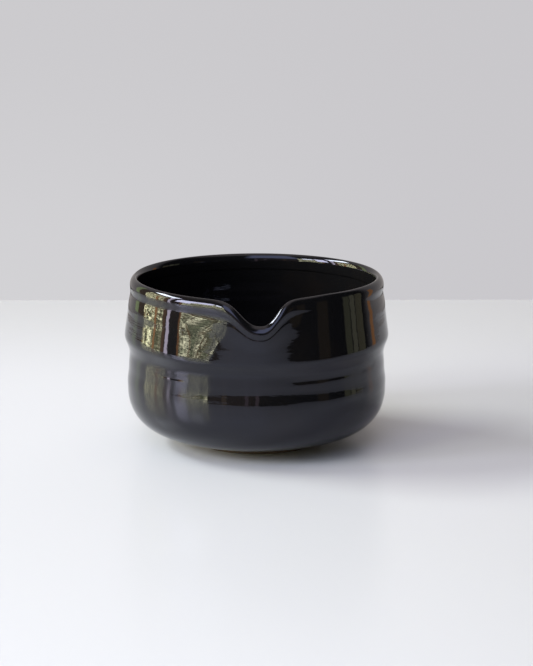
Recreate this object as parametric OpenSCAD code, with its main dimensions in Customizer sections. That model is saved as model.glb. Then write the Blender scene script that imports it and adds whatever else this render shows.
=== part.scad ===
// Matcha bowl with a pulled pouring lip, thrown in stoneware and glazed black.
// The bowl stands on its foot, centred on the Z axis, and pours towards -Y.
// The clay is one thrown body on a turned foot ring. The glaze is a second
// material fired on to it, in the coats that the potter puts on one by one:
// poured inside, dipped outside over the rim, and brushed into the foot.

/* [Bowl] */
// Height from the table to the crest of the rim
bowl_h = 76.9; // [74:0.1:82]
// Diameter over the ridge, the widest place of the wall
ridge_d = 120.6; // [118:0.2:126]
// Height of the ridge
ridge_h = 50; // [49:0.1:52]
// Diameter at the waist, the groove below the ridge
waist_d = 116.9; // [115:0.1:118]
// Height of the waist
waist_h = 41.2; // [40:0.1:43]
// Diameter of the belly
belly_d = 118.5; // [117.5:0.1:120]
// Height of the belly's widest place
belly_h = 27; // [25:0.1:28]
// Wall thickness at the belly, glaze included
belly_wall = 5.3; // [4.5:0.1:7]
// Thickness of the floor in the middle, clay and glaze
floor_t = 5.6; // [5:0.1:7.5]

/* [Rim] */
// Diameter over the rounded bead of the rim
bead_d = 115.7; // [114.5:0.1:116.5]
// Diameter of the shallow neck under the bead
neck_d = 115.2; // [113.5:0.1:115.4]
// Wall thickness at the bead, glaze included
rim_wall = 4.25; // [3.6:0.05:5]

/* [Pouring lip] */
// How far the lip dips below the rim
lip_dip = 10.6; // [6:0.1:11]
// How far the lip is pushed outwards
lip_out = 3.8; // [0:0.1:4]
// Turn of the lip about Z, off the -Y axis, in degrees
lip_turn = 1.7; // [-3:0.1:3]
// Half width of the dip on its gentle side, in degrees
lip_left = 10.1; // [8:0.1:12]
// Half width of the dip on its steep side, in degrees
lip_right = 8.1; // [7:0.1:12]
// Sag of the rim on both sides of the lip
rim_sag = 1; // [0:0.1:1.5]
// How far the pull drags the ridge down below the lip
ridge_sag = 1.5; // [0:0.1:2]

/* [Foot] */
// Outer diameter of the foot ring
foot_d = 60; // [54:0.5:62]
// Height of the foot ring
foot_h = 4.9; // [4:0.1:5.5]
// Width of the foot ring
foot_w = 4.8; // [4:0.1:7]

/* [Glaze] */
// Thickness of the glaze
glaze_t = 0.5; // [0.3:0.05:0.6]

/* [Hidden] */
$fn = 96;

clay_colour = [0.27, 0.22, 0.19];
glaze_colour = [0.02, 0.02, 0.023];

ridge_r = ridge_d / 2;
waist_r = waist_d / 2;
belly_r = belly_d / 2;
bead_r = bead_d / 2;
neck_r = neck_d / 2;
foot_r = foot_d / 2;
well_r = foot_r - foot_w;
// Inner radii of the wall, on the glaze
lip_in_r = bead_r - rim_wall;
belly_in_r = belly_r - belly_wall;
ridge_in_r = ridge_r - belly_wall + 0.2;
// The glaze stops this far outside the foot ring
bare_band = 1;
base_r = foot_r + bare_band;
// Both surfaces of the glaze under the bowl and on its floor
glaze_low = foot_h - glaze_t;
floor_h = foot_h + floor_t;
// The bead and the neck of the rim, below the bowl's height
bead_drop = 4.3;
neck_drop = 6.9;

// The belly outside is a quarter of a superellipse from the glaze line at the
// foot to the belly's widest place, and inside from the wall to the floor.
belly_steps = 7;
belly_power_r = 2.7;
belly_power_h = 2.4;
floor_steps = 7;
wall_power = 4.5;
floor_power = 2.8;
belly_arc = [for (i = [0:belly_steps - 1]) let (t = 90 * (1 - i / belly_steps))
    [base_r + (belly_r - base_r) * pow(cos(t), 2 / belly_power_r),
     belly_h - (belly_h - glaze_low) * pow(sin(t), 2 / belly_power_h)]];
floor_arc = [for (i = [1:floor_steps - 1]) let (t = 90 * i / floor_steps)
    [belly_in_r * pow(cos(t), 2 / wall_power),
     belly_h - (belly_h - floor_h) * pow(sin(t), 2 / floor_power)]];

// The wall's glazed surface, from the belly up the outside, over the crest and
// down the inside, as knots [radius, height] of a smooth curve.
outside_knots = [
    [belly_r, belly_h],
    [belly_r - 0.03, belly_h + 2.6],
    [belly_r - 0.56, belly_h + 7.2],
    [waist_r + 0.12, waist_h - 3.2],
    [waist_r, waist_h],
    [waist_r + 0.04, waist_h + 2],
    [waist_r + 0.44, waist_h + 3.8],
    [ridge_r - 0.84, ridge_h - 3.2],
    [ridge_r - 0.16, ridge_h - 1.2],
    [ridge_r, ridge_h - 0.2],
    [ridge_r - 0.02, ridge_h + 0.8],
    [ridge_r - 0.18, ridge_h + 2.2],
    [ridge_r - 1.35, ridge_h + 11],
    [ridge_r - 2.25, ridge_h + 17.6],
    [neck_r, bowl_h - neck_drop],
    [bead_r, bowl_h - bead_drop]];
rim_knots = [
    [bead_r - 0.2, bowl_h - 2.3],
    [bead_r - 1, bowl_h - 0.8],
    [bead_r - rim_wall / 2 - 0.15, bowl_h],
    [lip_in_r + 0.65, bowl_h - 0.95],
    [lip_in_r, bowl_h - 3.4]];
inside_knots = [
    [lip_in_r + 0.1, bowl_h - 8],
    [ridge_in_r - 0.7, ridge_h + 10],
    [ridge_in_r, ridge_h],
    [waist_r - 4.1, waist_h],
    [belly_in_r + 0.05, belly_h + 8],
    [belly_in_r, belly_h]];
wall_knots = concat(outside_knots, rim_knots, inside_knots);

// A point of the smooth curve through four knots, between b and c.
function curve_point(a, b, c, d, t) =
    (2 * b + (c - a) * t + (2 * a - 5 * b + 4 * c - d) * t * t
     + (3 * b - a - 3 * c + d) * t * t * t) / 2;
// The knots from first to last, with one more point on each longer stretch.
long_stretch = 4.4;
function curve(knots, first, last) = [for (i = [first:last - 1])
    for (t = norm(knots[i + 1] - knots[i]) > long_stretch ? [0, 0.5] : [0])
        curve_point(knots[i - 1], knots[i], knots[i + 1], knots[i + 2], t)];

padded_knots = concat([belly_arc[belly_steps - 1]], wall_knots, [floor_arc[0]]);
// The two coats of glaze meet at this knot, just inside the rim.
coat_knot = len(outside_knots) + len(rim_knots) + 1;
dipped_surface = concat(belly_arc, curve(padded_knots, 1, coat_knot));
poured_surface = concat(curve(padded_knots, coat_knot, len(wall_knots)),
                        [[belly_in_r, belly_h]], floor_arc);
// The whole glazed surface, from the foot over the rim to the floor's middle.
surface = concat(dipped_surface, poured_surface);
coat_end = len(dipped_surface);

// The clay lies one glaze thickness under the surface, along its normal.
function along(path, i) = path[min(i + 1, len(path) - 1)] - path[max(i - 1, 0)];
function unit(v) = v / norm(v);
function under(path, i) = let (d = unit(along(path, i)))
    path[i] + glaze_t * [-d.y, d.x];
clay = [for (i = [0:len(surface) - 1])
    i == 0 ? [base_r, foot_h] : under(surface, i)];

// Angles of the mesh about Z from the lip, close together across the lip.
lip_span = 30;
lip_step = 3;
wall_step = 7.5;
angles = concat([for (a = [-lip_span:lip_step:lip_span - lip_step]) a],
                [for (a = [lip_span:wall_step:360 - lip_span - wall_step]) a]);
columns = len(angles);

// A smooth rise from 0 to 1 between two heights.
function rise(h, low, high) = let (t = max(0, min(1, (h - low) / (high - low))))
    t * t * (3 - 2 * t);
// A straight rise from 0 to 1 between two heights, its two corners rounded:
// the mean of the sharp one over a short window, by the area under it.
corner = 2;
function area(t) = t < 0 ? 0 : t > 1 ? t - 0.5 : t * t / 2;
function ramp(h, low, high) = let (t = (h - low) / (high - low),
                                   d = corner / (high - low))
    (area(t + d) - area(t - d)) / (2 * d);
// A round-topped hump that falls off on each side at its own width.
function hump(a, left, right, power) =
    exp(-pow(abs(a) / (a < 0 ? left : right), power));

// Half widths of the rim's sag, of the push outwards and of the ridge's sag on
// the two sides of the lip, in degrees, and how flat each is on top.
sag_left = 60;
sag_right = 24;
push_left = 20;
push_right = 13.5;
drag_width = 50;
dip_power = 2.5;
sag_power = 3.5;
push_power = 3;
// The pull bends the wall from just under the ridge up to the bead.
push_h = ridge_h - 2;
neck_h = bowl_h - neck_drop;
pull_h = bowl_h - 3.4;

function from_lip(a) = let (b = a - lip_turn) b > 180 ? b - 360 : b;
// How far the rim is pulled down and out at an angle, and the ridge down.
function rim_down(b) = lip_dip * hump(b, lip_left, lip_right, dip_power)
    + rim_sag * hump(b, sag_left, sag_right, sag_power);
function rim_out(b) = lip_out * hump(b, push_left, push_right, push_power);
function ridge_down(b) = ridge_sag * hump(b, drag_width, drag_width, push_power);
// A point of a profile turned to an angle, with the pull of the lip.
function turned(p, a) = let (
    b = from_lip(a),
    down = rim_down(b) * ramp(p.y, ridge_h, pull_h)
        + ridge_down(b) * (rise(p.y, waist_h, ridge_h) - rise(p.y, ridge_h, neck_h)),
    r = p.x + rim_out(b) * ramp(p.y, push_h, pull_h))
    [r * sin(a), -r * cos(a), p.y - down];

function ring_points(path) = [for (p = path) for (a = angles) turned(p, a)];
// Two triangles for each cell between rings i and k, facing out or in.
function cells(i, k, inward) = [for (j = [0:columns - 1]) let (
    n = (j + 1) % columns,
    a = i * columns + j, b = i * columns + n,
    c = k * columns + n, d = k * columns + j)
    each inward ? [[a, c, b], [a, d, c]] : [[a, b, c], [a, c, d]]];
// A fan of triangles from ring i to a point on the axis.
function fan(i, tip, inward) = [for (j = [0:columns - 1]) let (
    a = i * columns + j, b = i * columns + (j + 1) % columns)
    inward ? [a, tip, b] : [a, b, tip]];

// A closed solid of revolution, warped by the lip, from a closed outline.
module turned_loop(loop) {
    rings = len(loop);
    polyhedron(points = ring_points(loop),
               faces = [for (i = [0:rings - 1]) each cells(i, (i + 1) % rings, true)]);
}

// The same from an outline that starts and ends on the axis.
module turned_path(path, start_h, end_h, inward) {
    rings = len(path);
    points = concat(ring_points(path), [[0, 0, start_h], [0, 0, end_h]]);
    polyhedron(points = points, faces = concat(
        fan(0, rings * columns, !inward),
        [for (i = [0:rings - 2]) each cells(i, i + 1, inward)],
        fan(rings - 1, rings * columns + 1, inward)));
}

function part_of(path, first, last) = [for (i = [first:last]) path[i]];
function reversed(path) = [for (i = [len(path) - 1:-1:0]) path[i]];

// The thrown clay: floor, wall, rim and pulled lip in one.
module stoneware_body() {
    color(clay_colour)
        turned_path(clay, foot_h, floor_h - glaze_t, false);
}

// Turned ring that the bowl stands on, left bare.
module foot_ring() {
    edge = 0.7;
    color(clay_colour)
        rotate_extrude()
            polygon([[well_r, foot_h], [well_r, edge], [well_r + edge, 0],
                     [foot_r - edge, 0], [foot_r, edge], [foot_r, foot_h]]);
}

// Dipped coat: from the glaze line above the foot over the rim.
module exterior_glaze() {
    color(glaze_colour)
        turned_loop(concat(part_of(clay, 0, coat_end),
                           reversed(part_of(surface, 0, coat_end))));
}

// Poured coat: from just inside the rim down across the floor.
module interior_glaze() {
    last = len(surface) - 1;
    color(glaze_colour)
        turned_path(concat(reversed(part_of(surface, coat_end, last)),
                           part_of(clay, coat_end, last)),
                    floor_h, floor_h - glaze_t, true);
}

// Coat inside the foot ring, drawn up into the corner.
module foot_well_glaze() {
    climb = 1.4;
    color(glaze_colour)
        rotate_extrude()
            polygon(concat([[0, foot_h], [well_r, foot_h]],
                [for (t = [0:15:90]) [well_r - climb * (1 - cos(t)),
                                      glaze_low - climb * (1 - sin(t))]],
                [[0, glaze_low]]));
}

stoneware_body();
foot_ring();
exterior_glaze();
interior_glaze();
foot_well_glaze();
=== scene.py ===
"""Matcha bowl with a pulled pouring lip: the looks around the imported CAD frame.

Everything is in metres in the CAD's frame: the bowl stands on z = 0, centred on
the Z axis, and pours towards -Y. Angles about Z are in degrees from -Y towards +X.
The coats of glaze and the foot ring are dense turned meshes that stand for their
plain CAD nodes. The clay between them stays as it was packed.
"""

import math

import bpy
import numpy as np
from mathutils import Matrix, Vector, noise


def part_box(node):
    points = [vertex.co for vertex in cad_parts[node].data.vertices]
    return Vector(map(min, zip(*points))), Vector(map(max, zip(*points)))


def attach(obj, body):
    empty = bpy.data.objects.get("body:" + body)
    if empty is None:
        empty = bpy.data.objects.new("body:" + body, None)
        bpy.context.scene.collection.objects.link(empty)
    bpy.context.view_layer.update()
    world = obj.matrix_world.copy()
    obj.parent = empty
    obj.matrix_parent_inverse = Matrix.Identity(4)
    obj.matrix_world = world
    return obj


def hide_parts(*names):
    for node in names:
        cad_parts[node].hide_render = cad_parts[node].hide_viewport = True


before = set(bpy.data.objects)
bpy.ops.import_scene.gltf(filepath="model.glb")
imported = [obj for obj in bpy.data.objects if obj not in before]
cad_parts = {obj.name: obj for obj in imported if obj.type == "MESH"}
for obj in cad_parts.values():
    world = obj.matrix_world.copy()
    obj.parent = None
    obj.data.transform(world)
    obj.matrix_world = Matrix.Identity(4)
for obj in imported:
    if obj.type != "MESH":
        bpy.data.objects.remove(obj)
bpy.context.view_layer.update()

MM = 0.001

# ---------------------------------------------------------------- sizes, from the frame
GLAZE_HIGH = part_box("exterior_glaze")[1]
FOOT_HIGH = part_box("foot_ring")[1]
POURED_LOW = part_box("interior_glaze")[0]
WELL_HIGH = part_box("foot_well_glaze")[1]

BOWL_H = GLAZE_HIGH.z
RIDGE_R = GLAZE_HIGH.x
FOOT_R = FOOT_HIGH.x
FOOT_H = FOOT_HIGH.z
WELL_R = WELL_HIGH.x
GLAZE_T = 0.5 * MM
GLAZE_LOW = FOOT_H - GLAZE_T
FLOOR_H = POURED_LOW.z + GLAZE_T

# The rest of the profile, as offsets from those or as the CAD has it.
BASE_R = FOOT_R + 1 * MM
BELLY_R = RIDGE_R - 1.05 * MM
WAIST_R = RIDGE_R - 1.85 * MM
BEAD_R = RIDGE_R - 2.45 * MM
NECK_R = RIDGE_R - 2.7 * MM
BELLY_WALL = 5.3 * MM
RIM_WALL = 4.25 * MM
LIP_IN_R = BEAD_R - RIM_WALL
BELLY_IN_R = BELLY_R - BELLY_WALL
RIDGE_IN_R = RIDGE_R - BELLY_WALL + 0.2 * MM

BELLY_H = 27 * MM
WAIST_H = 41.2 * MM
RIDGE_H = 50 * MM
BEAD_H = BOWL_H - 4.3 * MM
NECK_H = BOWL_H - 6.9 * MM

# ---------------------------------------------------------------- the turned profile
# Powers of the round corners from the wall to the base, across and up: higher is squarer.
BASE_POWERS = (2.7, 2.4)
FLOOR_POWERS = (4.5, 2.8)
ARC_STEPS = 10
# The rings are picked from a fine curve, closer together at the ridge and at the rim.
CURVE_POINTS = 6001
WALL_STEP = 0.85 * MM
RIDGE_STEP = 0.45 * MM
RIDGE_REACH = 4 * MM
RIM_STEP = 0.3 * MM
RIM_REACH = 9 * MM


def base_arc():
    """Quarter of a superellipse, from the glaze line at the foot to the belly."""
    t = np.radians(90 * (1 - np.arange(ARC_STEPS) / ARC_STEPS))
    across, up = BASE_POWERS
    return np.stack([BASE_R + (BELLY_R - BASE_R) * np.cos(t) ** (2 / across),
                     BELLY_H - (BELLY_H - GLAZE_LOW) * np.sin(t) ** (2 / up)], 1)


def floor_arc():
    """The same inside, from the wall to the middle of the floor."""
    t = np.radians(90 * np.arange(1, ARC_STEPS) / ARC_STEPS)
    across, up = FLOOR_POWERS
    arc = np.stack([BELLY_IN_R * np.cos(t) ** (2 / across),
                    BELLY_H - (BELLY_H - FLOOR_H) * np.sin(t) ** (2 / up)], 1)
    return np.vstack([arc, [[0, FLOOR_H]]])


def wall_knots():
    """Radius and height of the glazed wall: up the outside, over the crest, down inside.

    The offsets from each named radius and height are in millimetres.
    """
    knots = [
        (BELLY_R, 0, BELLY_H, 0),
        (BELLY_R, -0.03, BELLY_H, 2.6),
        (BELLY_R, -0.56, BELLY_H, 7.2),
        (WAIST_R, 0.12, WAIST_H, -3.2),
        (WAIST_R, 0, WAIST_H, 0),
        (WAIST_R, 0.04, WAIST_H, 2),
        (WAIST_R, 0.44, WAIST_H, 3.8),
        (RIDGE_R, -0.84, RIDGE_H, -3.2),
        (RIDGE_R, -0.16, RIDGE_H, -1.2),
        (RIDGE_R, 0, RIDGE_H, -0.2),
        (RIDGE_R, -0.02, RIDGE_H, 0.8),
        (RIDGE_R, -0.18, RIDGE_H, 2.2),
        (RIDGE_R, -1.35, RIDGE_H, 11),
        (RIDGE_R, -2.25, RIDGE_H, 17.6),
        (NECK_R, 0, NECK_H, 0),
        (BEAD_R, 0, BEAD_H, 0),
        (BEAD_R, -0.2, BOWL_H, -2.3),
        (BEAD_R, -1, BOWL_H, -0.8),
        (BEAD_R - RIM_WALL / 2, -0.15, BOWL_H, 0),
        (LIP_IN_R, 0.65, BOWL_H, -0.95),
        (LIP_IN_R, 0, BOWL_H, -3.4),
        (LIP_IN_R, 0.1, BOWL_H, -8),
        (RIDGE_IN_R, -0.7, RIDGE_H, 10),
        (RIDGE_IN_R, 0, RIDGE_H, 0),
        (WAIST_R, -4.1, WAIST_H, 0),
        (BELLY_IN_R, 0.05, BELLY_H, 8),
        (BELLY_IN_R, 0, BELLY_H, 0)]
    return np.array([(r + dr * MM, h + dh * MM) for r, dr, h, dh in knots])


def spline(knots, share):
    """Natural cubic spline through the knots by chord length, at shares 0 to 1 of it."""
    reach = np.r_[0, np.cumsum(np.linalg.norm(np.diff(knots, axis=0), axis=1))]
    gap = np.diff(reach)
    count = len(knots)
    # Solve for the second derivatives at the knots, which are 0 at both ends.
    left = np.eye(count)
    right = np.zeros((count, 2))
    for i in range(1, count - 1):
        left[i, i - 1:i + 2] = gap[i - 1], 2 * (gap[i - 1] + gap[i]), gap[i]
        right[i] = 6 * ((knots[i + 1] - knots[i]) / gap[i]
                        - (knots[i] - knots[i - 1]) / gap[i - 1])
    bend = np.linalg.solve(left, right)
    x = share * reach[-1]
    i = np.clip(np.searchsorted(reach, x) - 1, 0, count - 2)
    past = (x - reach[i])[:, None]
    ahead = (reach[i + 1] - x)[:, None]
    width = gap[i][:, None]
    return ((bend[i] * ahead ** 3 + bend[i + 1] * past ** 3) / (6 * width)
            + (knots[i] / width - bend[i] * width / 6) * ahead
            + (knots[i + 1] / width - bend[i + 1] * width / 6) * past)


def outward(path):
    """Unit normals of a path of radius and height, to the right of its direction."""
    along = np.gradient(path, axis=0)
    along /= np.linalg.norm(along, axis=1)[:, None]
    return np.stack([along[:, 1], -along[:, 0]], 1)


def resample(path, step):
    """Points along a fine path, one per step (given at each point), and their distance."""
    length = np.r_[0, np.cumsum(np.linalg.norm(np.diff(path, axis=0), axis=1))]
    ticks = np.r_[0, np.cumsum(np.diff(length) / step[1:])]
    pick = np.interp(np.linspace(0, ticks[-1], int(ticks[-1]) + 1), ticks, length)
    return np.stack([np.interp(pick, length, path[:, k]) for k in (0, 1)], 1), pick


def glazed_profile():
    """Points and normals along the whole glazed surface, foot to floor, and distances."""
    knots = np.vstack([base_arc(), wall_knots(), floor_arc()])
    fine = spline(knots, np.linspace(0, 1, CURVE_POINTS))
    near_ridge = np.abs(fine[:, 1] - RIDGE_H) < RIDGE_REACH
    near_rim = fine[:, 1] > BOWL_H - RIM_REACH
    step = np.where(near_ridge, RIDGE_STEP, WALL_STEP)
    step = np.where(near_rim, RIM_STEP, step)
    points, along = resample(fine, step)
    return points, outward(points), along


# ---------------------------------------------------------------- curves to shape with
# Degrees between the columns of a mesh.
ANGLE_STEP = 1.0


def wrapped(a):
    """Angle in degrees, brought to between -180 and 180."""
    return (a + 180) % 360 - 180


def hump(a, left, right, power):
    """Round-topped hump that falls off on each side at its own width, in degrees."""
    return np.exp(-(np.abs(a) / np.where(a < 0, left, right)) ** power)


def bell(x, middle, width):
    """Bell curve, 1 in the middle."""
    return np.exp(-((x - middle) / width) ** 2)


def rise(h, low, high):
    """Smooth rise from 0 to 1 between two heights."""
    t = np.clip((h - low) / (high - low), 0, 1)
    return t * t * (3 - 2 * t)


def area(t):
    """Area under a straight rise from 0 to 1 between 0 and 1."""
    return np.where(t < 0, 0, np.where(t > 1, t - 0.5, t * t / 2))


def ramp(h, low, high, rounding=2 * MM):
    """Straight rise from 0 to 1 between two heights, its two corners rounded."""
    t = (h - low) / (high - low)
    d = rounding / (high - low)
    return (area(t + d) - area(t - d)) / (2 * d)


def spun(r, z, a):
    """Points at these radii and heights, at angles in degrees from -Y."""
    t = np.radians(a)
    return np.stack(np.broadcast_arrays(r * np.sin(t), -r * np.cos(t), z), -1)


def full_turn():
    """Evenly spaced angles all round."""
    return np.arange(0, 360, ANGLE_STEP)[None, :]


# ---------------------------------------------------------------- the pull of the lip
LIP_DIP = 10.6 * MM
LIP_OUT = 3.8 * MM
LIP_TURN = 1.7
RIM_SAG = 1.0 * MM
RIDGE_SAG = 1.5 * MM
PULL_H = BOWL_H - 3.4 * MM
OUT_LOW = RIDGE_H - 2 * MM
# How each of them spreads round the bowl: degrees to the left and to the right of the
# lip's middle, and the power of the hump.
DIP_SPREAD = (10.1, 8.1, 2.5)
OUT_SPREAD = (20, 13.5, 3)
RIM_SPREAD = (60, 24, 3.5)
RIDGE_SPREAD = (50, 50, 3)
# The mesh's columns are closer together this far on both sides of -Y, at this step.
LIP_ARC = 32
LIP_STEP = 0.5


def from_lip(a):
    """Angle from the middle of the lip."""
    return wrapped(a - LIP_TURN)


def turned(r, z, a):
    """Points of a profile turned to angles in degrees from -Y, with the pulled lip."""
    b = from_lip(a)
    down = LIP_DIP * hump(b, *DIP_SPREAD) + RIM_SAG * hump(b, *RIM_SPREAD)
    down = down * ramp(z, RIDGE_H, PULL_H)
    drag = rise(z, WAIST_H, RIDGE_H) - rise(z, RIDGE_H, NECK_H)
    down = down + RIDGE_SAG * hump(b, *RIDGE_SPREAD) * drag
    out = LIP_OUT * hump(b, *OUT_SPREAD) * ramp(z, OUT_LOW, PULL_H)
    return spun(r + out, z - down, a)


def angles():
    """Angles about Z, close together across the lip."""
    across = np.arange(-LIP_ARC, LIP_ARC, LIP_STEP)
    round_the_back = np.arange(LIP_ARC, 360 - LIP_ARC, ANGLE_STEP)
    return np.r_[across, round_the_back][None, :]


# ---------------------------------------------------------------- the hand's unevenness
# How far the noise of one seed lies from that of the next.
SEED_SHIFT = (7.31, 3.17, 5.77)
# Along the normal, what the wall is uneven by, and the size or pitch of each kind.
WOBBLE = 0.055 * MM
WOBBLE_SIZE = 55 * MM
DENTS = 0.016 * MM
DENT_SIZE = 13 * MM
RIPPLE = 0.010 * MM
RIPPLE_PITCH = 6.5 * MM
INSIDE_RIPPLE = 0.015 * MM
INSIDE_PITCH = 7.0 * MM
# The ripples wander by this share of a turn, over this distance.
WANDER = 0.9
WANDER_SIZE = 40 * MM
# Distances along the profile over which the ripples fade in and out: from the foot, short
# of the crest, and past the crest for the ones inside.
RIPPLE_START = (15 * MM, 30 * MM)
RIPPLE_END = (12 * MM, 4 * MM)
INSIDE_START = (12 * MM, 25 * MM)
# Radii between which the unevenness fades out to the middle of the floor.
FLOOR_FADE = (2 * MM, 12 * MM)

# Where each mark of the hand lies round the bowl: its middle in degrees from the lip, its
# spread to the left and to the right, and the power of the hump.
BESIDE_LIP = (38, 26, 24, 6)
LEFT_SIDE = (-70, 16, 16, 4)
WHOLE_FRONT = (0, 62, 62, 8)
HELD_SPOT = (-24.5, 8.5, 8.5, 4)
FAR_LEFT = (-98, 22, 22, 4)
UNDER_LIP = (0, 19, 16, 5)
# What each mark moves the wall by, and the height and half-width of the level ones.
NECK_MARK = 0.3 * MM
NECK_MARK_H = 71.6 * MM
NECK_MARK_HALF = 5 * MM
LEFT_SHARE = 0.25
WAIST_MARK = 0.2 * MM
WAIST_MARK_HALF = 3 * MM
HELD_MARK = 0.26 * MM
HELD_H = 65.5 * MM
HELD_HALF = 4.5 * MM
LEAN = 0.3 * MM
FILL = 0.42 * MM
FILL_H = 70.3 * MM
FILL_HALF = 4.8 * MM
# Grooves of the fingertips: start and end as (angle, height), depth and half-width.
CREASES = [
    ((-55, 39.9 * MM), (-29, 39.6 * MM), 0.26 * MM, 0.34 * MM),
    ((11, 40.1 * MM), (50, 40.3 * MM), 0.16 * MM, 0.95 * MM),
    ((50, 40.5 * MM), (66, 41.0 * MM), 0.14 * MM, 0.8 * MM)]
# The share of a groove's length over which each end runs out.
CREASE_FADE = 0.25


def field(points, size, seed):
    """Smooth noise, -1 to 1, with features of about that size, at each point."""
    shift = Vector([seed * part for part in SEED_SHIFT])
    flat = points.reshape(-1, 3) / size
    return np.array([noise.noise(Vector(p) + shift) for p in flat]).reshape(points.shape[:-1])


def coarse_field(points, size, seed, skip=4):
    """field() worked out on every skip-th point of a grid, and straight in between."""
    rows, cols = points.shape[:2]
    r = np.unique(np.r_[np.arange(0, rows, skip), rows - 1])
    c = np.arange(0, cols, skip)
    low = field(points[r][:, c], size, seed)
    # Each row is a ring, so the first column is also the one past the last.
    low = np.concatenate([low, low[:, :1]], 1)
    c = np.r_[c, cols]
    wide = np.stack([np.interp(np.arange(cols), c, row) for row in low])
    return np.stack([np.interp(np.arange(rows), r, wide[:, k]) for k in range(cols)], 1)


def throwing_marks(points, along, a, pitch, seed):
    """Spiral ripple that the fingers leave, as a height from -1 to 1."""
    drift = coarse_field(points, WANDER_SIZE, seed)
    phase = along[:, None] / pitch + a / 360 + WANDER * drift
    return np.sin(2 * np.pi * phase)


def crease(z, a, start, end, depth, half_width):
    """Shallow groove that a fingertip leaves from one (angle, height) to another."""
    t = (wrapped(a) - start[0]) / (end[0] - start[0])
    middle = start[1] + (end[1] - start[1]) * np.clip(t, 0, 1)
    ends = rise(t, 0, CREASE_FADE) * (1 - rise(t, 1 - CREASE_FADE, 1))
    return -depth * ends * bell(z, middle, half_width)


def patch(b, middle, left, right, power):
    """Hump about an angle from the lip."""
    return hump(b - middle, left, right, power)


def hand_marks(z, a):
    """Marks of the hand on the outside wall, along its normal."""
    b = from_lip(a)
    # The hand has nearly smoothed the neck away right of the lip, and softened it a little
    # on the left.
    beside = patch(b, *BESIDE_LIP) + LEFT_SHARE * patch(b, *LEFT_SIDE)
    wave = np.clip((NECK_MARK_H - z) / NECK_MARK_HALF, -1, 1)
    neck = NECK_MARK * beside * np.sin(np.pi * wave)
    # The waist is pressed a little deeper round the sides and back.
    sides = 1 - patch(b, *WHOLE_FRONT)
    waist = -WAIST_MARK * sides * bell(z, WAIST_H, WAIST_MARK_HALF)
    # A faint hollow beside the lip, where a finger held the wall during the pull.
    held = -HELD_MARK * patch(b, *HELD_SPOT) * bell(z, HELD_H, HELD_HALF)
    # Round the left side the upper wall leans in a little more.
    leaning = -LEAN * patch(b, *FAR_LEFT) * rise(z, RIDGE_H, NECK_H)
    # Under the lip itself the pull has filled the neck a little.
    filled = FILL * patch(b, *UNDER_LIP) * bell(z, FILL_H, FILL_HALF)
    marks = neck + waist + held + leaning + filled
    for groove in CREASES:
        marks = marks + crease(z, a, *groove)
    return marks


# ---------------------------------------------------------------- meshes
def make_object(name, points, faces):
    mesh = bpy.data.meshes.new(name)
    mesh.from_pydata(points.tolist(), [], faces)
    mesh.polygons.foreach_set("use_smooth", [True] * len(mesh.polygons))
    mesh.update()
    piece = bpy.data.objects.new(name, mesh)
    bpy.context.scene.collection.objects.link(piece)
    return piece


def strip(first, second, cols):
    """Quads between two rings, given by their first vertices."""
    return [(first + j, first + (j + 1) % cols, second + (j + 1) % cols, second + j)
            for j in range(cols)]


def loop_piece(name, rings):
    """Closed tube-like solid from rings of points, the last joined to the first."""
    count, cols = rings.shape[:2]
    faces = [f for i in range(count) for f in strip(i * cols, (i + 1) % count * cols, cols)]
    return make_object(name, rings.reshape(-1, 3), faces)


def capped_piece(name, rings, first, last):
    """Closed solid from rings of points between two points on the axis."""
    count, cols = rings.shape[:2]
    points = np.vstack([rings.reshape(-1, 3), [first, last]])
    start = count * cols
    end = start + 1
    base = (count - 1) * cols
    faces = [f for i in range(count - 1) for f in strip(i * cols, (i + 1) * cols, cols)]
    faces += [(start, (j + 1) % cols, j) for j in range(cols)]
    faces += [(end, base + j, base + (j + 1) % cols) for j in range(cols)]
    return make_object(name, points, faces)


def finish_piece(piece, material, node):
    piece.data.materials.append(material)
    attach(piece, "root")
    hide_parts(node)


# ---------------------------------------------------------------- node graphs
class Graph:
    """Short names for making and linking nodes."""

    def __init__(self, tree):
        self.tree = tree
        tree.nodes.clear()

    def add(self, kind, inputs=None, **settings):
        node = self.tree.nodes.new("ShaderNode" + kind)
        for key, value in settings.items():
            setattr(node, key, value)
        for key, value in (inputs or {}).items():
            if isinstance(value, bpy.types.NodeSocket):
                self.tree.links.new(value, node.inputs[key])
            else:
                node.inputs[key].default_value = value
        return node

    def math(self, operation, a, b=0.0, c=0.0):
        return self.add("Math", {0: a, 1: b, 2: c}, operation=operation).outputs[0]

    def span(self, value, low, high, to_low=0.0, to_high=1.0):
        """Smooth step of a value from to_low to to_high."""
        return self.add("MapRange", {0: value, 1: low, 2: high, 3: to_low, 4: to_high},
                        interpolation_type="SMOOTHSTEP").outputs[0]

    def between(self, value, low, high, soft):
        """1 between low and high, with soft edges."""
        return self.math("MULTIPLY", self.span(value, low - soft, low + soft),
                         self.span(value, high - soft, high + soft, 1.0, 0.0))

    def mix(self, factor, a, b):
        return self.add("Mix", {0: factor, 6: a, 7: b}, data_type="RGBA").outputs[2]

    def noise(self, vector, scale, detail=2.0, rough=0.5):
        return self.add("TexNoise", {"Vector": vector, "Scale": scale, "Detail": detail,
                                     "Roughness": rough}).outputs[0]

    def stretch(self, vector, x, y, z):
        return self.add("Mapping", {0: vector, 3: (x, y, z)}).outputs[0]

    def surface(self, inputs):
        """The material's one shader, with these inputs."""
        shader = self.add("BsdfPrincipled", inputs)
        self.add("OutputMaterial", {"Surface": shader.outputs[0]})


def colour(r, g, b):
    return (r, g, b, 1.0)


def new_material(name):
    material = bpy.data.materials.new(name)
    material.use_nodes = True
    return material, Graph(material.node_tree)


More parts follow.
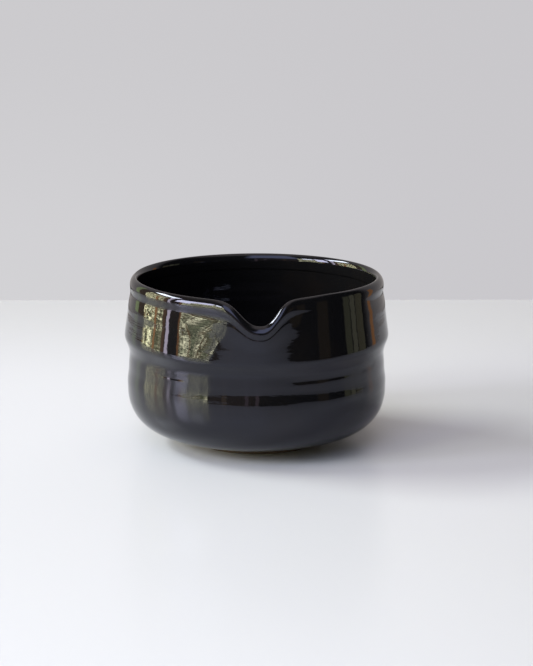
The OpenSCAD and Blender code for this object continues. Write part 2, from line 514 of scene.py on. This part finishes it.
GLAZE_BLACK = colour(0.0048, 0.0048, 0.0053)
GLAZE_BROWN = colour(0.0070, 0.0060, 0.0056)
GLAZE_SHEEN = colour(0.94, 0.96, 1.17)
GLAZE_IOR = 1.43
CLAY_DARK = colour(0.075, 0.055, 0.045)
CLAY_LIGHT = colour(0.145, 0.105, 0.080)
CLAY_GRIT = colour(0.030, 0.022, 0.018)


def black_glaze():
    """Glossy black glaze: faint iron brown in drifts, orange-peel ripple, fine pits."""
    material, g = new_material("black_glaze")
    place = g.add("TexCoord").outputs["Object"]
    drift = g.noise(place, scale=45, detail=3)
    tone = g.mix(g.span(drift, 0.45, 0.75), GLAZE_BLACK, GLAZE_BROWN)
    smear = g.noise(place, scale=130, detail=3)
    rough = g.span(smear, 0.35, 0.7, to_low=0.02, to_high=0.05)
    peel = g.noise(place, scale=420, detail=2)
    ripple = g.add("Bump", {"Height": peel, "Strength": 0.06, "Distance": 0.2 * MM})
    # Fine level lines that the fingers leave, under the glaze's own skin.
    lines = g.noise(g.stretch(place, 1, 1, 14), scale=38, detail=3, rough=0.6)
    ripple = g.add("Bump", {"Height": lines, "Strength": 0.5, "Distance": 0.05 * MM,
                            "Normal": ripple.outputs[0]})
    cell = g.add("TexVoronoi", {"Vector": place, "Scale": 260.0}).outputs["Distance"]
    pit = g.span(cell, 0.02, 0.07)
    pits = g.add("Bump", {"Height": pit, "Strength": 0.25, "Distance": 0.1 * MM,
                          "Normal": ripple.outputs[0]})
    g.surface({"Base Color": tone, "Roughness": rough, "IOR": GLAZE_IOR,
               "Specular Tint": GLAZE_SHEEN, "Normal": pits.outputs[0]})
    return material


def bare_stoneware():
    """Dark iron-bearing clay, matt, with turning lines and grit."""
    material, g = new_material("bare_stoneware")
    place = g.add("TexCoord").outputs["Object"]
    broad = g.noise(place, scale=90, detail=4)
    tone = g.mix(g.span(broad, 0.35, 0.7), CLAY_DARK, CLAY_LIGHT)
    grit = g.noise(place, scale=1500, detail=3, rough=0.7)
    tone = g.mix(g.span(grit, 0.62, 0.72), tone, CLAY_GRIT)
    lines = g.add("TexWave", {"Vector": place, "Scale": 300.0, "Distortion": 2.0,
                              "Detail": 2.0}, wave_type="RINGS",
                  rings_direction="Z").outputs["Fac"]
    turned_bump = g.add("Bump", {"Height": lines, "Strength": 0.35, "Distance": 0.1 * MM})
    grain = g.add("Bump", {"Height": grit, "Strength": 0.5, "Distance": 0.12 * MM,
                           "Normal": turned_bump.outputs[0]})
    rough = g.span(broad, 0.3, 0.7, to_low=0.75, to_high=0.92)
    g.surface({"Base Color": tone, "Roughness": rough, "Normal": grain.outputs[0]})
    return material


# ---------------------------------------------------------------- the bowl's pieces
# The rolled lower edge of the outer coat: its thickness and how far up it reaches, how far
# it creeps in and out, over what distance round the foot and how far up, and the degrees
# between the rings round its nose.
EDGE_THICK = 0.12 * MM
EDGE_REACH = 1.6 * MM
CREEP = 0.45 * MM
CREEP_SIZE = 9 * MM
CREEP_REACH = 3 * MM
NOSE_STEP = 30
# The seam of the two coats, past the crest, how far they overlap on each side of it, and
# how deep each dives under the other.
SEAM = 8 * MM
OVERLAP = 7 * MM
DIVE = 0.6 * GLAZE_T
# The clay side of the glaze is hidden, so it keeps only every third ring.
HIDDEN_SKIP = 3

# The foot ring: how far its walls lean, the rounding of its corners from the outer
# resting one upwards and round, and the spacing of its rings.
FOOT_TAPER = 0.6 * MM
FOOT_FLARE = 0.45 * MM
WELL_FLARE = 0.4 * MM
FOOT_ROUNDING = (1.3 * MM, 0.2 * MM, 0.2 * MM, 1.0 * MM)
FOOT_STEP = 0.35 * MM
# What the ring is uneven by, and the pitch or size of each kind.
TOOL_LINES = 0.02 * MM
TOOL_PITCH = 0.9 * MM
CHATTER = 0.02 * MM
CHATTER_SIZE = 3 * MM
FOOT_WOBBLE = 0.08 * MM
FOOT_WOBBLE_SIZE = 18 * MM
# Heights over which that fades in above the resting face, and the depth over which it
# fades out below the top.
FADE_IN = (0.2 * MM, 1.0 * MM)
FADE_OUT = 0.6 * MM

# The coat in the well: its rings, which crowd to the corner by this power and end at this
# radius, how far it comes down the ring's inner wall, in mm, with the waver of that edge,
# the width of the pool in the corner, and the height and size of the brush marks.
WELL_RINGS = 40
WELL_CROWD = 1.5
WELL_EYE = 1 * MM
HANG = 1.3
HANG_WAVER = 0.35
WAVER_SIZE = 9 * MM
POOL_WIDTH = 0.8 * MM
BRUSH = 0.06 * MM
BRUSH_SIZE = 12 * MM


class GlazedWall:
    """The whole glazed surface and the clay side of the glaze, before it is cut in two."""

    def __init__(self):
        points, normals, along = glazed_profile()
        self.a = angles()
        self.along = along
        self.crest = along[int(np.argmax(points[:, 1]))]
        self.normal_r, self.normal_z = normals[:, :1], normals[:, 1:]
        plain_r, plain_z = points[:, :1], points[:, 1:]
        grid = turned(plain_r, plain_z, self.a)

        lift = self.unevenness(grid, plain_r)
        outside = (along < self.crest)[:, None]
        lift = lift + hand_marks(plain_z, self.a) * outside

        # The dipped coat rolls to a thicker, wavy edge above the foot.
        edge = bell(along, 0, EDGE_REACH)[:, None]
        lift = lift * (1 - edge) + EDGE_THICK * edge
        wave = coarse_field(grid, CREEP_SIZE, seed=5)[:1]
        creep = CREEP * wave * np.exp(-along / CREEP_REACH)[:, None]

        self.r = plain_r + self.normal_r * lift + creep
        self.z = plain_z + self.normal_z * lift
        self.under_r = plain_r - self.normal_r * GLAZE_T + creep
        self.under_z = plain_z - self.normal_z * GLAZE_T

    def unevenness(self, grid, radius):
        """Slow wobble, small dents and the ripple of the fingers, along the normal."""
        along, crest = self.along, self.crest
        short_of_crest = 1 - rise(along, crest - RIPPLE_END[0], crest - RIPPLE_END[1])
        wall = (rise(along, *RIPPLE_START) * short_of_crest)[:, None]
        inside = rise(along, crest + INSIDE_START[0], crest + INSIDE_START[1])[:, None]
        lift = WOBBLE * coarse_field(grid, WOBBLE_SIZE, seed=5)
        lift += DENTS * coarse_field(grid, DENT_SIZE, seed=2)
        ripple = throwing_marks(grid, along, self.a, RIPPLE_PITCH, seed=3)
        lift += RIPPLE * ripple * wall
        ripple = throwing_marks(grid, along, self.a, INSIDE_PITCH, seed=4)
        lift += INSIDE_RIPPLE * ripple * inside
        return lift * rise(radius, *FLOOR_FADE)

    def sunk(self, depth, rows):
        """Rings of the surface in these rows, sunk along the normal."""
        r = (self.r - self.normal_r * depth)[rows]
        z = (self.z - self.normal_z * depth)[rows]
        return turned(r, z, self.a)

    def under(self, rows):
        """Rings of the clay side in these rows."""
        return turned(self.under_r[rows], self.under_z[rows], self.a)

    def nose(self):
        """Rings round the rolled lower edge, from the clay side to the surface."""
        t = np.radians(np.arange(NOSE_STEP, 180, NOSE_STEP))[:, None]
        mid_r = (self.r[:1] + self.under_r[:1]) / 2
        mid_z = (self.z[:1] + self.under_z[:1]) / 2
        half = (self.under_z[:1] - self.z[:1]) / 2
        return turned(mid_r - half * np.sin(t), mid_z + half * np.cos(t), self.a)


def build_glaze(material):
    """The dipped and the poured coat.

    On its side of the seam, just inside the rim, each coat is the surface. Past the seam
    it dives under the other one, and the crossing shows only as a faint hairline.
    """
    wall = GlazedWall()
    seam = wall.crest + SEAM
    past = np.clip((wall.along - seam) / OVERLAP, 0, 1)[:, None]
    before = np.clip((seam - wall.along) / OVERLAP, 0, 1)[:, None]
    first = int(np.searchsorted(wall.along, seam - OVERLAP))
    last = int(np.searchsorted(wall.along, seam + OVERLAP))
    # The last row is the middle of the floor, which the cap stands for.
    stop = len(wall.along) - 1

    rings = np.concatenate([
        wall.sunk(DIVE * past ** 3, slice(0, last)),
        wall.under(slice(last - 1, None, -HIDDEN_SKIP)),
        wall.nose()])
    outside = loop_piece("glaze_outside", rings)
    finish_piece(outside, material, "exterior_glaze")

    rings = np.concatenate([
        wall.sunk(DIVE * before ** 3, slice(stop - 1, first - 1, -1)),
        wall.under(slice(first, stop, HIDDEN_SKIP))])
    inside = capped_piece("glaze_inside", rings, (0, 0, FLOOR_H), (0, 0, FLOOR_H - GLAZE_T))
    finish_piece(inside, material, "interior_glaze")


def rounded(corners, radius, steps=5):
    """A closed outline of (r, z) corners, each rounded off by a quadratic curve."""
    outline = []
    count = len(corners)
    # No rounding takes quite half of an edge, so that two never meet.
    most = 0.49
    for i in range(count):
        here = np.array(corners[i])
        back = np.array(corners[i - 1]) - here
        ahead = np.array(corners[(i + 1) % count]) - here
        start = here + back * min(radius[i] / np.linalg.norm(back), most)
        end = here + ahead * min(radius[i] / np.linalg.norm(ahead), most)
        for t in np.linspace(0, 1, steps):
            outline.append(start * (1 - t) ** 2 + here * 2 * t * (1 - t) + end * t ** 2)
    return np.array(outline + outline[:1])


def build_foot(material):
    """Turned ring of bare clay: soft edges, tool lines, a flat resting face."""
    corners = [(FOOT_R - FOOT_TAPER, 0), (FOOT_R + FOOT_FLARE, FOOT_H), (WELL_R, FOOT_H),
               (WELL_R + WELL_FLARE, 0)]
    outline = rounded(corners, FOOT_ROUNDING)
    points, along = resample(outline, np.full(len(outline), FOOT_STEP))
    points, along = points[:-1], along[:-1]
    normals = outward(np.vstack([points, points[:1]]))[:-1]
    a = full_turn()
    r, z = points[:, :1], points[:, 1:]
    grid = spun(r, z, a)

    # Tool lines and a slight wobble everywhere but on the resting face and the top.
    above = rise(points[:, 1], *FADE_IN)
    below = 1 - rise(points[:, 1], FOOT_H - FADE_OUT, FOOT_H)
    free = above * below
    lines = np.sin(2 * np.pi * (along[:, None] / TOOL_PITCH + a / 360))
    chatter = coarse_field(grid, CHATTER_SIZE, seed=11)
    wobble = coarse_field(grid, FOOT_WOBBLE_SIZE, seed=12)
    rough = TOOL_LINES * lines + CHATTER * chatter + FOOT_WOBBLE * wobble
    lift = free[:, None] * rough
    r = r + normals[:, :1] * lift
    z = np.maximum(z + normals[:, 1:] * lift, 0)
    foot = loop_piece("turned_foot", spun(r, z, a))
    finish_piece(foot, material, "foot_ring")


def build_well(material):
    """Coat brushed inside the foot: pooled in the corner, its edge uneven."""
    a = full_turn()
    crowded = np.linspace(0, 1, WELL_RINGS)[:, None] ** WELL_CROWD
    reach = WELL_R - crowded * (WELL_R - WELL_EYE)
    low = FOOT_H - GLAZE_T
    grid = spun(reach, 0.0, a)
    brush = coarse_field(grid, BRUSH_SIZE, seed=21)
    waver = coarse_field(grid, WAVER_SIZE, seed=22)[:1]
    hang = (HANG + HANG_WAVER * waver) * MM
    slope = np.exp(-(WELL_R - reach) / POOL_WIDTH)
    z = low - hang * slope - BRUSH * brush * (1 - slope)
    surface = spun(reach, z, a)
    top = spun(WELL_R, FOOT_H, a)
    rings = np.concatenate([surface[::-1], top])
    well = capped_piece("glaze_foot_well", rings, (0, 0, low), (0, 0, FOOT_H))
    finish_piece(well, material, "foot_well_glaze")


def build_bowl():
    glaze = black_glaze()
    clay = bare_stoneware()
    build_glaze(glaze)
    build_foot(clay)
    build_well(glaze)
    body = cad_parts["stoneware_body"]
    body.data.materials.clear()
    body.data.materials.append(clay)


# ---------------------------------------------------------------- stage, light, camera
TABLE_LEFT = -700 * MM
TABLE_RIGHT = 420 * MM
TABLE_FRONT = -420 * MM
TABLE_BACK = 326 * MM
CORNER_LEFT = -1000 * MM
CORNER_RIGHT = -500 * MM
CORNER_FRONT = -1300 * MM
FLOOR_REACH = 2500 * MM
FLOOR_DROP = 0.2 * MM
TABLE_IOR = 1.31
TABLE_ROUGHNESS = 0.25
# The table's colours are painted light and shade: lighter toward the front, darker to the back
# and to the right, as the window's light falls off.
PAINTED_LIGHT_FRONT = colour(0.775, 0.80, 0.85)
PAINTED_LIGHT_MIDDLE = colour(0.745, 0.765, 0.80)
PAINTED_SHADE_BACK = colour(0.615, 0.63, 0.645)
PAINTED_SHADE_RIGHT = colour(0.50, 0.505, 0.52)
# Where each of the last three tones takes over, along Y, along Y and along X.
MIDDLE_FADE = (-400 * MM, -150 * MM)
BACK_FADE = (80 * MM, 340 * MM)
RIGHT_FADE = (-150 * MM, 400 * MM)


def plane(name, left, right, front, back, z, material):
    corners = np.array([(left, front, z), (right, front, z), (right, back, z), (left, back, z)])
    flat = make_object(name, corners, [(0, 1, 2, 3)])
    flat.data.materials.append(material)
    return flat


def build_stage():
    """A pale table with its corner toward the window, on a wider floor of the same look."""
    material, g = new_material("pale_table")
    x, y, _ = g.add("SeparateXYZ", {0: g.add("TexCoord").outputs["Object"]}).outputs
    # Painted light and shade: the colour is lighter at the front and darker to the back and to
    # the right, where the window's light falls off.
    tone = g.mix(g.span(y, *MIDDLE_FADE), PAINTED_LIGHT_FRONT, PAINTED_LIGHT_MIDDLE)
    tone = g.mix(g.span(y, *BACK_FADE), tone, PAINTED_SHADE_BACK)
    tone = g.mix(g.span(x, *RIGHT_FADE), tone, PAINTED_SHADE_RIGHT)
    g.surface({"Base Color": tone, "Roughness": TABLE_ROUGHNESS, "IOR": TABLE_IOR})
    plane("table", TABLE_LEFT, TABLE_RIGHT, TABLE_FRONT, TABLE_BACK, 0.0, material)
    # The corner of the table toward the window reaches further forward.
    plane("table_corner", CORNER_LEFT, CORNER_RIGHT, CORNER_FRONT, TABLE_FRONT, 0.0, material)
    # The same surface further out, which only the camera sees.
    floor = plane("floor", -FLOOR_REACH, FLOOR_REACH, -FLOOR_REACH, TABLE_BACK, -FLOOR_DROP,
                  material)
    floor.visible_glossy = False
    floor.visible_diffuse = False
    floor.visible_shadow = False


# Upright bands of what the glaze mirrors: two azimuths in degrees from -Y and a colour,
# with None for the hedge. The sky's have two elevations as well, between them.
GARDEN_BANDS = [
    (-137, -129, (0.9, 1.1, 0.55)),
    (-129, -117, (0.25, 0.16, 0.10)),
    (-117, -101, None),
    (-101, -98.5, (3.8, 1.9, 0.7)),
    (-98.5, -90, None),
    (-90, -86.5, (1.1, 0.6, 0.30)),
    (-85.5, -82, (7.8, 6.9, 7.4)),
    (-81, -72, (0.10, 0.08, 0.07)),
    (-72, -70, (2.6, 1.2, 0.4)),
    (-70, -43, None)]
SKY_BANDS = [
    (-121, -89, 34, 43, (27.0, 28.5, 28.0)),
    (-88.5, -86, 26, 43, (19.0, 18.0, 21.0)),
    (-77, -64, 11, 33, (17.0, 16.8, 19.0)),
    (-61.5, -49, 21, 32, (19.6, 20.4, 20.2))]
ROOM_BANDS = [
    (-30, -26, (0.60, 0.42, 0.26)),
    (-10, -7, (0.62, 0.46, 0.48)),
    (-1, 2, (0.62, 0.46, 0.48)),
    (55, 66, (0.16, 0.12, 0.07)),
    (83, 90, (0.42, 0.42, 0.24)),
    (91, 97, (0.62, 0.60, 0.38)),
    (98, 107, (0.40, 0.37, 0.22)),
    (118, 124, (1.1, 0.52, 0.22))]
# Elevations of the window's sill, of the hedge's top, and of the things in the room.
SILL = -5.5
HEDGE_TOP = 28
ROOM_LOW = -30
ROOM_HIGH = 12
# The sides of all the bands are shaken by up to half of this each way, in degrees.
SHAKE = 3.0
# How softly the bands end at their sides, and at their top and bottom, in degrees.
SIDE_SOFT = 0.4
END_SOFT = 0.7

# Azimuths and elevations of the broad lights, some with the softness of their edges, and
# how far toward +Y a direction points where the wall behind the table begins.
WARM_TURN = (-45, -2, 4.0)
COOL_TURN = (-44, 9, 6.0)
COOL_HEIGHT = (20, 64, 5.0)
CEILING_HEIGHT = (50, 72)
BEHIND_HEIGHT = (-12, -8)
BEHIND_Y = (0.30, 0.55)

UNLIT = colour(0.03, 0.03, 0.03)
WARM_DIM = colour(0.20, 0.14, 0.11)
COOL_LIGHT = colour(1.60, 1.76, 2.45)
CEILING = colour(0.92, 0.81, 0.73)
WALL_BEHIND = colour(0.50, 0.465, 0.455)
LEAF_DARK = colour(0.6, 0.5, 0.2)
LEAF_LIT = colour(4.4, 4.9, 2.5)
LEAF_PALE = colour(23.0, 21.8, 12.8)
GAP = colour(0.30, 0.28, 0.13)
SHADE = colour(0.9, 0.85, 0.35)
SHADE_SHARE = 0.8
STEM = colour(1.8, 0.95, 0.3)
BACKDROP_LEFT = colour(0.650, 0.645, 0.665)
BACKDROP_RIGHT = colour(0.590, 0.580, 0.605)
BACKDROP_LOW = colour(0.585, 0.575, 0.595)


def build_world():
    """A dim room with a garden window on the left, a pale wall behind the table."""
    world = bpy.data.worlds.new("room")
    bpy.context.scene.world = world
    world.use_nodes = True
    g = Graph(world.node_tree)
    way = g.add("TexCoord").outputs["Generated"]
    x, y, z = g.add("SeparateXYZ", {0: way}).outputs
    degrees = 180 / math.pi
    turn = g.math("MULTIPLY", g.math("ARCTAN2", x, g.math("MULTIPLY", y, -1.0)), degrees)
    height = g.math("MULTIPLY", g.math("ARCSINE", z), degrees)
    # Azimuths shaken a little, so that no edge of the window is ruled.
    jitter = g.noise(way, scale=9, detail=3, rough=0.6)
    shaken = g.math("MULTIPLY_ADD", jitter, SHAKE, g.math("SUBTRACT", turn, SHAKE / 2))

    def pane(base, low, high, bottom, top, seen):
        """Lay a lit pane over what is there."""
        lit = g.math("MULTIPLY", g.between(shaken, low, high, SIDE_SOFT),
                     g.between(height, bottom, top, END_SOFT))
        return g.mix(lit, base, seen)

    # The room: nearly black, with a warm dim part and a cool light in front, a warm
    # ceiling, and the pale wall behind the table.
    dark = g.mix(g.between(turn, *WARM_TURN), UNLIT, WARM_DIM)
    cool = g.mix(g.between(height, *COOL_HEIGHT), dark, COOL_LIGHT)
    room = g.mix(g.between(turn, *COOL_TURN), UNLIT, cool)
    room = g.mix(g.span(height, *CEILING_HEIGHT), room, CEILING)
    behind = g.math("MULTIPLY", g.span(y, *BEHIND_Y), g.span(height, *BEHIND_HEIGHT))
    room = g.mix(behind, room, WALL_BEHIND)
    for low, high, seen in ROOM_BANDS:
        room = pane(room, low, high, ROOM_LOW, ROOM_HIGH, colour(*seen))

    # The garden: a mottled hedge with gaps, pale leaves and stems.
    leaves = g.noise(g.stretch(way, 1, 1, 7), scale=10, detail=3, rough=0.65)
    green = g.mix(g.span(leaves, 0.46, 0.52), LEAF_DARK, LEAF_LIT)
    pale = g.noise(g.stretch(way, 1, 1, 8), scale=16, detail=3, rough=0.65)
    green = g.mix(g.span(pale, 0.51, 0.55), green, LEAF_PALE)
    gaps = g.noise(g.stretch(way, 1, 1, 9), scale=10, detail=3, rough=0.65)
    green = g.mix(g.span(gaps, 0.53, 0.57), green, GAP)
    shade = g.noise(g.stretch(way, 1, 1, 7), scale=5.5, detail=2, rough=0.5)
    shaded = g.math("MULTIPLY", g.span(shade, 0.49, 0.58), SHADE_SHARE)
    green = g.mix(shaded, green, SHADE)
    stems = g.noise(g.stretch(way, 1, 1, 0.6), scale=26, detail=3, rough=0.6)
    green = g.mix(g.span(stems, 0.57, 0.63), green, STEM)
    for low, high, seen in GARDEN_BANDS:
        seen = green if seen is None else colour(*seen)
        room = pane(room, low, high, SILL, HEDGE_TOP, seen)
    for low, high, bottom, top, seen in SKY_BANDS:
        room = pane(room, low, high, bottom, top, colour(*seen))

    # The camera itself sees a plain pale wall in place of the room.
    light = g.add("Background", {"Color": room, "Strength": 1.0})
    plain = g.mix(g.span(x, -0.14, 0.14), BACKDROP_LEFT, BACKDROP_RIGHT)
    near_table = g.span(z, -0.20, -0.05, to_low=0.0, to_high=0.7)
    plain = g.mix(near_table, plain, BACKDROP_LOW)
    backdrop = g.add("Background", {"Color": plain, "Strength": 1.0})
    by_camera = g.add("LightPath").outputs["Is Camera Ray"]
    both = g.add("MixShader", {0: by_camera, 1: light.outputs[0], 2: backdrop.outputs[0]})
    g.add("OutputWorld", {"Surface": both.outputs[0]})


LENS = 106.24
SENSOR = 36.0
CAMERA_AT = (0.0, -0.880, 0.24065)
CAMERA_PITCH = 12.25
CAMERA_YAW = 0.297


def build_camera():
    data = bpy.data.cameras.new("camera")
    data.lens = LENS
    data.sensor_width = SENSOR
    data.clip_start = 0.01
    data.clip_end = 50
    camera = bpy.data.objects.new("camera", data)
    bpy.context.scene.collection.objects.link(camera)
    camera.location = CAMERA_AT
    down = math.radians(CAMERA_PITCH)
    side = math.radians(CAMERA_YAW)
    camera.rotation_euler = (math.pi / 2 - down, 0.0, -side)
    bpy.context.scene.camera = camera


build_bowl()
build_stage()
build_world()
build_camera()
bpy.context.scene.view_settings.view_transform = "Standard"
